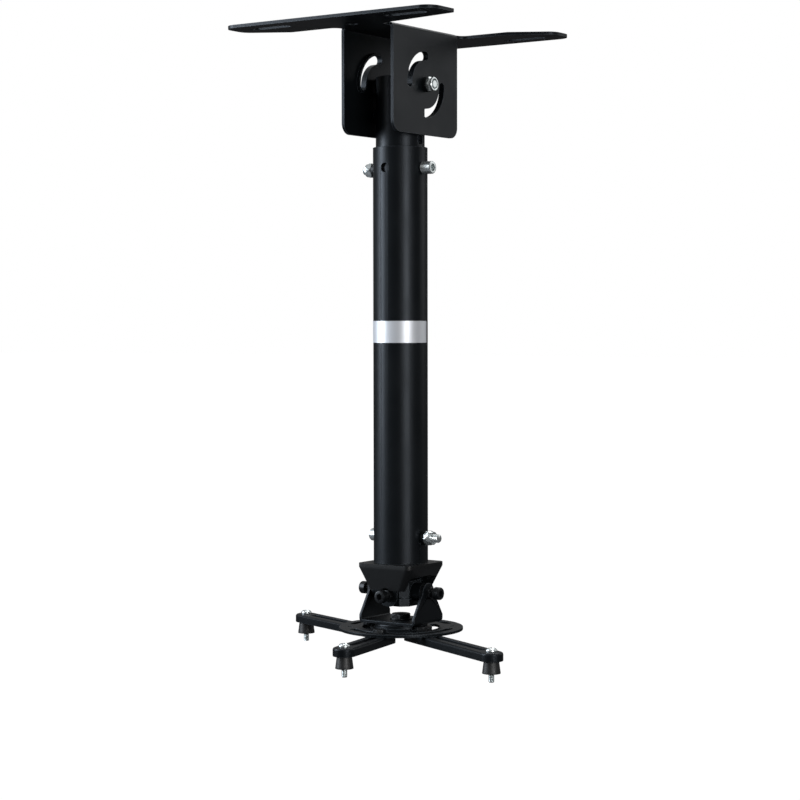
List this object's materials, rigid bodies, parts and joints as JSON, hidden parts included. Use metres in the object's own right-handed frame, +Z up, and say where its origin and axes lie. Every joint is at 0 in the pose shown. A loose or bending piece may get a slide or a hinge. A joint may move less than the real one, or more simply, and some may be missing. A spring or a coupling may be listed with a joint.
{
  "type": "projector ceiling mount",
  "caption": "Black ceiling mount for a projector: folded ceiling plate, telescopic pole, two-axis tilt joint, and a swivel disc with slotted adjustable arms.",
  "frame": {"origin": "centre of the ceiling plate's upper face, on the pole's axis", "axes": "+Z up into the ceiling, X along the pivot bolt and the wings, Y along the cheeks"},
  "size_m": [0.2308, 0.1897, 0.4474],
  "materials": {
    "black_powder_coat": "satin black powder coat",
    "collar_plastic": "satin black moulding",
    "zinc_plate": "bright zinc plate",
    "black_oxide": "black oxide",
    "black_nylon": "black nylon"
  },
  "bodies": {
    "bracket": {"ceiling_plate": "black_powder_coat", "pivot_bolt": "zinc_plate", "pivot_nut": "zinc_plate", "pivot_washers": "black_oxide", "pivot_spacers": "black_nylon"},
    "inner_pole": {"inner_tube": "black_powder_coat"},
    "outer_pole": {"outer_tube": "black_powder_coat", "height_bolt": "zinc_plate", "lower_bolt": "zinc_plate", "pole_nuts": "zinc_plate", "pole_washers": "black_oxide", "collar": "collar_plastic", "upper_yoke": "black_powder_coat", "yoke_bolt": "black_oxide", "yoke_nut": "zinc_plate"},
    "cross": {"cross_block": "black_powder_coat", "roll_screws": "black_oxide", "roll_jam_nuts": "black_oxide", "roll_friction_washers": "black_nylon", "pitch_screws": "black_oxide", "pitch_jam_nuts": "black_oxide", "pitch_friction_washers": "black_nylon"},
    "fork": {"lower_fork": "black_powder_coat", "swivel_bolt": "black_oxide", "swivel_washer": "black_oxide", "swivel_nut": "black_oxide"},
    "disc": {"swivel_disc": "black_powder_coat"},
    "right_clamp": {"right_clamp_bolt": "black_oxide", "right_clamp_nut": "black_oxide", "right_clamp_washer": "black_oxide"},
    "right_arm": {"right_arm": "black_powder_coat", "right_screw": "zinc_plate", "right_spacer": "black_nylon"},
    "left_clamp": {"left_clamp_bolt": "black_oxide", "left_clamp_nut": "black_oxide", "left_clamp_washer": "black_oxide"},
    "left_arm": {"left_arm": "black_powder_coat", "left_screw": "zinc_plate", "left_spacer": "black_nylon"},
    "front_clamp": {"front_clamp_bolt": "black_oxide", "front_clamp_nut": "black_oxide", "front_clamp_washer": "black_oxide"},
    "front_arm": {"front_arm": "black_powder_coat", "front_screw": "zinc_plate", "front_spacer": "black_nylon"}
  },
  "joints": [
    {"name": "pole_tilt", "type": "hinge", "parent": "bracket", "child": "inner_pole", "pos_m": [0, 0, -0.0396], "axis": [1, 0, 0], "range_deg": [0, 90]},
    {"name": "height_slide", "type": "slide", "parent": "inner_pole", "child": "outer_pole", "axis": [0, 0, -1], "range_m": [0, 0.24]},
    {"name": "side_tilt", "type": "hinge", "parent": "outer_pole", "child": "cross", "pos_m": [0, 0, -0.401], "axis": [0, 1, 0], "range_deg": [-10, 10]},
    {"name": "front_tilt", "type": "hinge", "parent": "cross", "child": "fork", "pos_m": [0, 0, -0.399], "axis": [1, 0, 0], "range_deg": [-15, 15]},
    {"name": "swivel", "type": "hinge", "parent": "fork", "child": "disc", "pos_m": [0, 0, -0.424], "axis": [0, 0, 1], "continuous": true},
    {"name": "right_swing", "type": "hinge", "parent": "disc", "child": "right_clamp", "pos_m": [0.02334, -0.00896, -0.4269], "axis": [0, 0, 1], "range_deg": [-20, 20]},
    {"name": "right_reach", "type": "slide", "parent": "right_clamp", "child": "right_arm", "axis": [0.8965, -0.4431, 0], "range_m": [-0.002, 0.008]},
    {"name": "left_swing", "type": "hinge", "parent": "disc", "child": "left_clamp", "pos_m": [-0.02462, -0.00434, -0.4269], "axis": [0, 0, 1], "range_deg": [-20, 20]},
    {"name": "left_reach", "type": "slide", "parent": "left_clamp", "child": "left_arm", "axis": [-0.9361, 0.3518, 0], "range_m": [-0.002, 0.008]},
    {"name": "front_swing", "type": "hinge", "parent": "disc", "child": "front_clamp", "pos_m": [0.00653, -0.03591, -0.4269], "axis": [0, 0, 1], "range_deg": [-20, 20]},
    {"name": "front_reach", "type": "slide", "parent": "front_clamp", "child": "front_arm", "axis": [0.1788, -0.9839, 0], "range_m": [-0.002, 0.008]}
  ]
}
